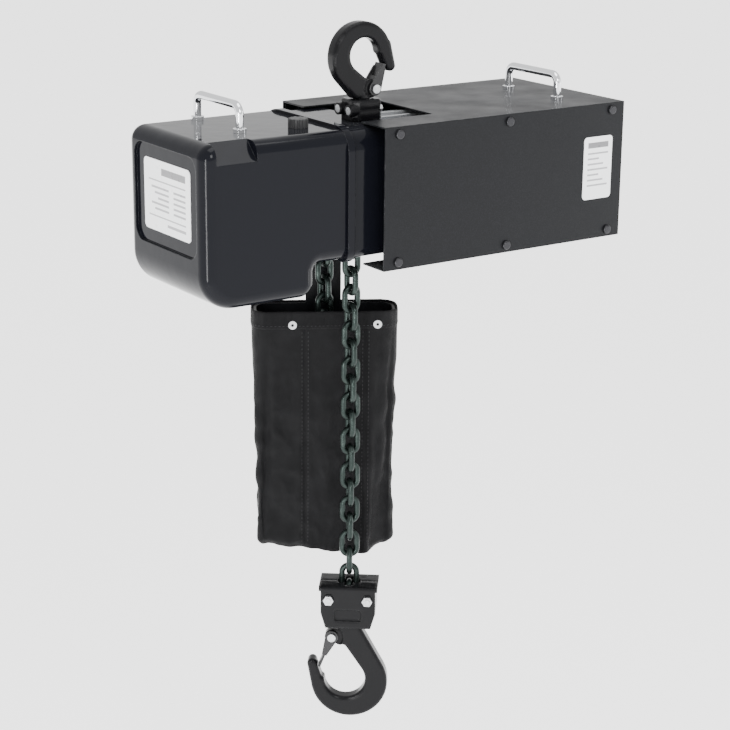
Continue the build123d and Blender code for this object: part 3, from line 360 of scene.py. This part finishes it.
# ---------------------------------------------------------------- plated fasteners
# Rivets, bolts with hexagon nuts, the yoke's pins, the bag's eyelets and the mounting plate of the
# electrics, all of steel under zinc plating with its cloudy spangle.
zinc, tree, shader = new_material("zinc_plate", (0.55, 0.56, 0.57), 1, 0.35)
roughen(tree, shader, noise(tree, 0.003, 5), 0.3, 0.7, 0.22, 0.5)
tint(tree, shader, spread(tree, noise(tree, 0.0045, 4), 0.45, 0.75, 0, 0.6), (0.33, 0.335, 0.34))
relief(tree, shader, noise(tree, 0.0011, 4), 0.00005, 0.0005)
finish_nodes(zinc, "top_latch_rivet", "bottom_latch_rivet", "block_bolts", "yoke_pins")
finish_nodes(zinc, "bag_eyelets", "electrics_plate")

# ---------------------------------------------------------------- load chain
# Short links of round hardened wire, bent and welded, down one fall to the block, over the sheave
# and down the other into the bag. They are dark with a green cast and oily in patches.
links, tree, shader = new_material("chain_dark", (0.017, 0.025, 0.0225), 0.8, 0.3)
roughen(tree, shader, noise(tree, 0.006, 5), 0.3, 0.7, 0.2, 0.42)
tint(tree, shader, spread(tree, noise(tree, 0.009, 4), 0.5, 0.75, 0, 0.7), (0.045, 0.06, 0.054))
relief(tree, shader, noise(tree, 0.003, 3), 0.00006)
finish_nodes(links, "load_chain", "slack_chain", "wrapped_links")
finish_nodes(links, "guided_load_links", "guided_slack_links")

# ---------------------------------------------------------------- small plastic pieces
# The breather cap, cable inlet, contactors and fan, moulded in black plastic with a fine grain,
# and the terminal block in grey. They are pushed, screwed or clipped in.
plastic, tree, shader = new_material("moulded_black", (0.017, 0.017, 0.018), 0, 0.5)
roughen(tree, shader, noise(tree, 0.004, 4), 0.3, 0.7, 0.38, 0.6)
relief(tree, shader, noise(tree, 0.0006, 2), 0.00005, 0.0005)
finish_nodes(plastic, "breather_cap", "control_inlet", "contactors", "fan")

grey_plastic, tree, shader = new_material("moulded_grey", (0.26, 0.27, 0.29), 0, 0.55)
relief(tree, shader, noise(tree, 0.0006, 2), 0.00005, 0.0005)
finish_nodes(grey_plastic, "terminal_block")

# ---------------------------------------------------------------- chain stop
# A moulded rubber block round the end of the slack fall, which meets the case when the chain runs
# out. It is matt, with pale dusty patches.
rubber, tree, shader = new_material("stop_rubber", (0.018, 0.018, 0.018), 0, 0.8)
tint(tree, shader, spread(tree, noise(tree, 0.006, 4), 0.5, 0.8, 0, 0.5), (0.05, 0.05, 0.05))
relief(tree, shader, noise(tree, 0.0012, 4), 0.0001, 0.0005)
finish_nodes(rubber, "chain_stop")

# ---------------------------------------------------------------- drive inside the case and the box
# Gears, shafts, bearings and brake discs of turned steel with fine tool marks, and a motor whose
# housing and shield are sand-cast alloy round stacked laminations. All are pressed or bolted up.
turned, tree, shader = new_material("machined_steel", (0.42, 0.42, 0.43), 1, 0.3)
roughen(tree, shader, noise(tree, 0.0012, 4, (6, 1, 1)), 0.3, 0.7, 0.2, 0.4)
relief(tree, shader, noise(tree, 0.0008, 3, (6, 1, 1)), 0.00003, 0.0003)
finish_nodes(
    turned, "load_gear", "layshaft_gear", "layshaft_pinion", "motor_pinion", "layshaft", "sheave_shaft",
    "rotor_shaft", "load_sheave", "gearbox_bearings", "rotor_bearings", "chain_pin", "bottom_hook_nut",
    "brake_armature", "chain_guide", "brake_disc",
)

cast, tree, shader = new_material("cast_alloy", (0.4, 0.41, 0.42), 0.9, 0.5)
roughen(tree, shader, noise(tree, 0.004, 4), 0.3, 0.7, 0.42, 0.62)
relief(tree, shader, noise(tree, 0.0011, 4), 0.0001, 0.0006)
finish_nodes(cast, "motor_housing", "motor_end_shield", "bearing_plate", "brake_coil")

stack, tree, shader = new_material("laminations", (0.2, 0.2, 0.21), 0.8, 0.45)
sheet_lines = (1, 0.01, 0.01)
relief(tree, shader, noise(tree, 0.0008, 1, sheet_lines), 0.00015)
dark_lines = spread(tree, noise(tree, 0.0008, 1, sheet_lines), 0.4, 0.6, 0, 0.6)
tint(tree, shader, dark_lines, (0.1, 0.1, 0.11))
finish_nodes(stack, "stator", "rotor_core", "transformer")

# ---------------------------------------------------------------- chain bag
# The bag that takes the slack chain, sewn from three panels of woven black nylon and hemmed at
# the mouth. It hangs by eyelets from the ring of its hanger, and the chain in it pulls its floor
# down and its sides out.
bag_low, bag_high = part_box("chain_bag")
bag_centre = (bag_low + bag_high) / 2
bag_width = 0.152
bag_depth = 0.048
bag_corner = 0.018
bag_turn = radians(-30)
cloth_thick = 0.0012
bag_columns = 176
bag_rows = 74
floor_rings = 9
merge_gap = 0.00015
held_drop = 0.024
hem_drop = 0.0185
straight_share = 0.1
floor_sag = 0.011
sag_reach = 1.4
floor_lift = 0.013
floor_seam_half = 0.055
floor_seam_y = 0.002
near_flare = 0.02
side_flare = 0.08
low_corner = 0.007
crease_place = 0.042
crease_slope = 0.38
crumple_size = 0.034
crumple_depth = 0.0042
crumple_onset = 2.5
crumple_level = 0.55
crumple_top = 0.5
seam_places = (-0.021, 0.042)
seam_half = 0.0022
seam_depth = 0.0008
bag_frame = Matrix.Translation((bag_centre.x, bag_centre.y, 0)) @ Matrix.Rotation(bag_turn, 4, "Z")


def bag_outline(inset, corner=bag_corner):
    """Points round the bag, evenly spaced, `inset` inside its outer size, with their outward sides."""
    half_x = bag_width / 2 - corner
    half_y = bag_depth / 2 - corner
    radius = corner - inset
    arc = pi / 2 * radius
    total = 4 * (half_x + half_y + arc)
    points = []
    for column in range(bag_columns):
        left = column / bag_columns * total
        for quarter, (corner_x, corner_y) in enumerate(((1, 1), (-1, 1), (-1, -1), (1, -1))):
            straight = 2 * (half_x if quarter % 2 else half_y)
            centre = Vector((corner_x * half_x, corner_y * half_y))
            out = quarter * pi / 2
            if left <= straight:
                back = Vector((sin(out), -cos(out))) * (straight - left)
                side = Vector((cos(out), sin(out)))
                points.append((centre + radius * side + back, side))
                break
            left -= straight
            if left <= arc or quarter == 3:
                out += left / radius
                side = Vector((cos(out), sin(out)))
                points.append((centre + radius * side, side))
                break
            left -= arc
    return points


def ridged(place):
    """Soft crumples that run into each other, from 0 to about 1."""
    folds = 0
    for octave, weight in ((1, 0.6), (2.1, 0.3), (4.3, 0.1)):
        folds += weight * (1 - 2.2 * abs(smooth_noise(place * (octave / crumple_size))))
    return folds


def add_piece(name, shape):
    """Turns a finished shape into an object in the scene."""
    mesh = bpy.data.meshes.new(name)
    shape.to_mesh(mesh)
    shape.free()
    piece = bpy.data.objects.new(name, mesh)
    bpy.context.scene.collection.objects.link(piece)
    return piece


def round_off_faces(piece):
    """Smooth shading and one level of subdivision."""
    piece.data.polygons.foreach_set("use_smooth", [True] * len(piece.data.polygons))
    rounding = piece.modifiers.new("smooth", "SUBSURF")
    rounding.levels = 1
    rounding.render_levels = 1


bag_shape = bmesh.new()
bag_wall = []
outline = bag_outline(cloth_thick / 2)
for row in range(bag_rows + 1):
    share = row / bag_rows
    loose = max(0, share - straight_share) / (1 - straight_share)
    loose = loose * loose * (3 - 2 * loose)
    ring = []
    corner_here = bag_corner + (low_corner - bag_corner) * loose
    for point, side in bag_outline(cloth_thick / 2, corner_here):
        seam = sum(max(0, 1 - abs(point.x - place) / seam_half) for place in seam_places)
        spot = point - side * (seam_depth * seam * abs(side.y))
        spot.x += side_flare * loose * max(0, point.x) + near_flare * loose * min(0, point.x)
        past = max(0, point.x - crease_place)
        if point.y < 0:
            spot.y += crease_slope * loose * past
        reach = bag_width / 2 + crease_place
        if point.x >= crease_place:
            reach = sag_reach * (bag_width / 2 - crease_place)
        sag = floor_sag * (1 - abs(point.x - crease_place) / reach) * share ** 2
        height = bag_high.z - cloth_thick / 2 - share * (bag_high.z - bag_low.z - floor_lift) - sag
        ring.append(bag_shape.verts.new(bag_frame @ Vector((spot.x, spot.y, height))))
    bag_wall.append(ring)
for step in range(1, floor_rings + 1):
    share = step / floor_rings
    ring = []
    for above in bag_wall[bag_rows]:
        edge_spot = bag_frame.inverted() @ above.co
        seam_x = max(-floor_seam_half, min(floor_seam_half, edge_spot.x))
        spot = edge_spot.lerp(Vector((seam_x, floor_seam_y, edge_spot.z)), share)
        ring.append(bag_shape.verts.new(bag_frame @ spot))
    bag_wall.append(ring)
for upper, lower in zip(bag_wall, bag_wall[1:]):
    for column in range(bag_columns):
        follow = (column + 1) % bag_columns
        bag_shape.faces.new((upper[column], lower[column], lower[follow], upper[follow]))
bmesh.ops.remove_doubles(bag_shape, verts=bag_shape.verts, dist=merge_gap)
bmesh.ops.recalc_face_normals(bag_shape, faces=bag_shape.faces)
bag = add_piece("bag_cloth", bag_shape)
bag_mesh = bag.data

# The cloth settles under its weight, held at the ring and grown by `spare_cloth`, so that it
# wrinkles. No point moves further than `settle_cap`.
settle_cap = 0.008
settle_frames = 26
spare_cloth = 0.008
start_places = [vertex.co.copy() for vertex in bag_mesh.vertices]
held = bag.vertex_groups.new(name="held")
held.add([v.index for v in bag_mesh.vertices if v.co.z > bag_high.z - held_drop], 1, "REPLACE")
cloth = bag.modifiers.new("settle", "CLOTH")
cloth.settings.vertex_group_mass = "held"
cloth.settings.quality = 7
cloth.settings.mass = 0.25
cloth.settings.tension_stiffness = 12
cloth.settings.compression_stiffness = 6
cloth.settings.bending_stiffness = 0.15
cloth.settings.shrink_min = -spare_cloth
cloth.settings.use_pressure = True
cloth.settings.uniform_pressure_force = 0.06
cloth.collision_settings.use_self_collision = False
cloth.collision_settings.use_collision = False
scene = bpy.context.scene
for number in range(1, settle_frames + 1):
    scene.frame_set(number)
settled = bag.evaluated_get(bpy.context.evaluated_depsgraph_get()).to_mesh()
settled_places = [vertex.co.copy() for vertex in settled.vertices]
bag.modifiers.remove(cloth)
scene.frame_set(1)
for vertex, start, end in zip(bag_mesh.vertices, start_places, settled_places):
    moved = end - start
    if moved.length > settle_cap:
        moved *= settle_cap / moved.length
    vertex.co = start + moved

# Crumples pressed into the settled cloth, deeper towards the floor and none at the ring
for vertex in bag_mesh.vertices:
    share = (bag_high.z - vertex.co.z - held_drop) / (bag_high.z - bag_low.z - held_drop)
    give = max(0, min(1, share * crumple_onset))
    local = bag_frame.inverted() @ vertex.co
    dent = ridged(Vector((local.x, local.y * 0.4, local.z * 0.8))) - crumple_level
    vertex.co += vertex.normal * (crumple_depth * give * min(crumple_top, dent))
bag_mesh.update()
bag_surface = BVHTree.FromObject(bag, bpy.context.evaluated_depsgraph_get())
thicken = bag.modifiers.new("thickness", "SOLIDIFY")
thicken.thickness = cloth_thick
thicken.offset = 0
round_off_faces(bag)

# Folded hem round the mouth: up the outside, over the edge and down the inside
pucker_depth = 0.00025
hem_section = [
    (0.0007, -hem_drop), (0.0012, -hem_drop + 0.0006), (0.00125, -hem_drop + 0.003),
    (0.00125, -0.003), (0.0011, -0.0008), (0.0004, 0.0002),
    (-0.0004, 0.0001), (-0.0009, -0.0012), (-0.0009, -0.006),
]
hem_shape = bmesh.new()
hem_rings = []
for out, height in hem_section:
    ring = []
    for number, (point, side) in enumerate(outline):
        pucker = pucker_depth * sin(number * 1.7) * sin(number * 0.31)
        spot = point + side * (out + pucker)
        ring.append(hem_shape.verts.new(bag_frame @ Vector((spot.x, spot.y, bag_high.z + height))))
    hem_rings.append(ring)
for upper, lower in zip(hem_rings, hem_rings[1:]):
    for column in range(bag_columns):
        follow = (column + 1) % bag_columns
        hem_shape.faces.new((upper[column], upper[follow], lower[follow], lower[column]))
hem = add_piece("bag_hem", hem_shape)
round_off_faces(hem)

# Thread: a line round the hem and a pair of lines along each panel seam
stitch_long = 0.0032
stitch_gap = 0.0012
stitch_thick = 0.0007
stitch_bed = 0.0002
hem_stitch_out = 0.0014
hem_stitch_rise = 0.0035
seam_line_half = 0.0032
seam_line_top = 0.004
seam_line_bottom = 0.006
stitch_shape = bmesh.new()


def add_stitch(place, along, outward):
    """One stitch lying on the cloth: a slim four-sided bead, pointed at its ends."""
    side = along.cross(outward).normalized() * stitch_thick / 2
    up = outward.normalized() * stitch_thick / 2
    ends = [stitch_shape.verts.new(place + along * (stitch_long / 2 * sign)) for sign in (-1, 1)]
    turns = (0, pi / 2, pi, 3 * pi / 2)
    ring = [stitch_shape.verts.new(place + side * cos(turn) + up * sin(turn)) for turn in turns]
    for number in range(4):
        first, second = ring[number], ring[(number + 1) % 4]
        stitch_shape.faces.new((ends[0], second, first))
        stitch_shape.faces.new((ends[1], first, second))


stitch_z = bag_high.z - hem_drop + hem_stitch_rise
turn_only = bag_frame.to_3x3()
for number in range(0, bag_columns, 2):
    point, side = outline[number]
    ahead = outline[(number + 1) % bag_columns][0] - point
    spot = point + side * hem_stitch_out
    place = bag_frame @ Vector((spot.x, spot.y, stitch_z))
    add_stitch(place, (turn_only @ ahead.to_3d()).normalized(), turn_only @ side.to_3d())
for place_x in seam_places:
    for offset in (-seam_line_half, seam_line_half):
        for face in (-1, 1):
            height = bag_high.z - hem_drop - seam_line_top
            while height > bag_low.z + seam_line_bottom:
                origin = bag_frame @ Vector((place_x + offset, face * bag_depth, height))
                inward = turn_only @ Vector((0, -face, 0))
                hit = bag_surface.ray_cast(origin, inward)[0]
                if hit:
                    spot = hit - inward * (cloth_thick / 2 + stitch_bed)
                    add_stitch(spot, Vector((0, 0, 1)), -inward)
                height -= stitch_long + stitch_gap
stitching = add_piece("bag_stitching", stitch_shape)

# Nylon: a plain weave with a dull sheen
weave_step = 0.0011
nylon, tree, shader = new_material("woven_nylon", (0.0035, 0.0035, 0.004), 0, 0.6)
shader.inputs["Specular IOR Level"].default_value = 0.12
shader.inputs["Sheen Weight"].default_value = 0.015
shader.inputs["Sheen Roughness"].default_value = 0.4
place = tree.nodes.new("ShaderNodeTexCoord")
turned_place = tree.nodes.new("ShaderNodeMapping")
turned_place.inputs["Rotation"].default_value = (0, 0, -bag_turn)
split = tree.nodes.new("ShaderNodeSeparateXYZ")
tree.links.new(place.outputs["Object"], turned_place.inputs["Vector"])
tree.links.new(turned_place.outputs["Vector"], split.inputs["Vector"])
round_bag = math(tree, "ADD", split.outputs["X"], split.outputs["Y"])
warp = math(tree, "SINE", math(tree, "MULTIPLY", round_bag, 2 * pi / weave_step), 0)
weft = math(tree, "SINE", math(tree, "MULTIPLY", split.outputs["Z"], 2 * pi / weave_step), 0)
weave = math(tree, "MULTIPLY", warp, weft)
tint(tree, shader, spread(tree, weave, -0.2, 1, 0, 0.5), (0.009, 0.009, 0.01))
tint(tree, shader, spread(tree, noise(tree, 0.03, 5), 0.5, 0.8, 0, 0.3), (0.013, 0.013, 0.0145))
roughen(tree, shader, noise(tree, 0.012, 4), 0.3, 0.7, 0.45, 0.62)
relief(tree, shader, noise(tree, 0.016, 4), 0.0009)
relief(tree, shader, weave, 0.00016)
bag_mesh.materials.append(nylon)
hem.data.materials.append(nylon)

thread, tree, shader = new_material("black_thread", (0.014, 0.014, 0.0155), 0, 0.55)
relief(tree, shader, noise(tree, 0.0004, 2), 0.00008)
stitching.data.materials.append(thread)

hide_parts("chain_bag")
for piece in (bag, hem, stitching):
    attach(piece, "housing")
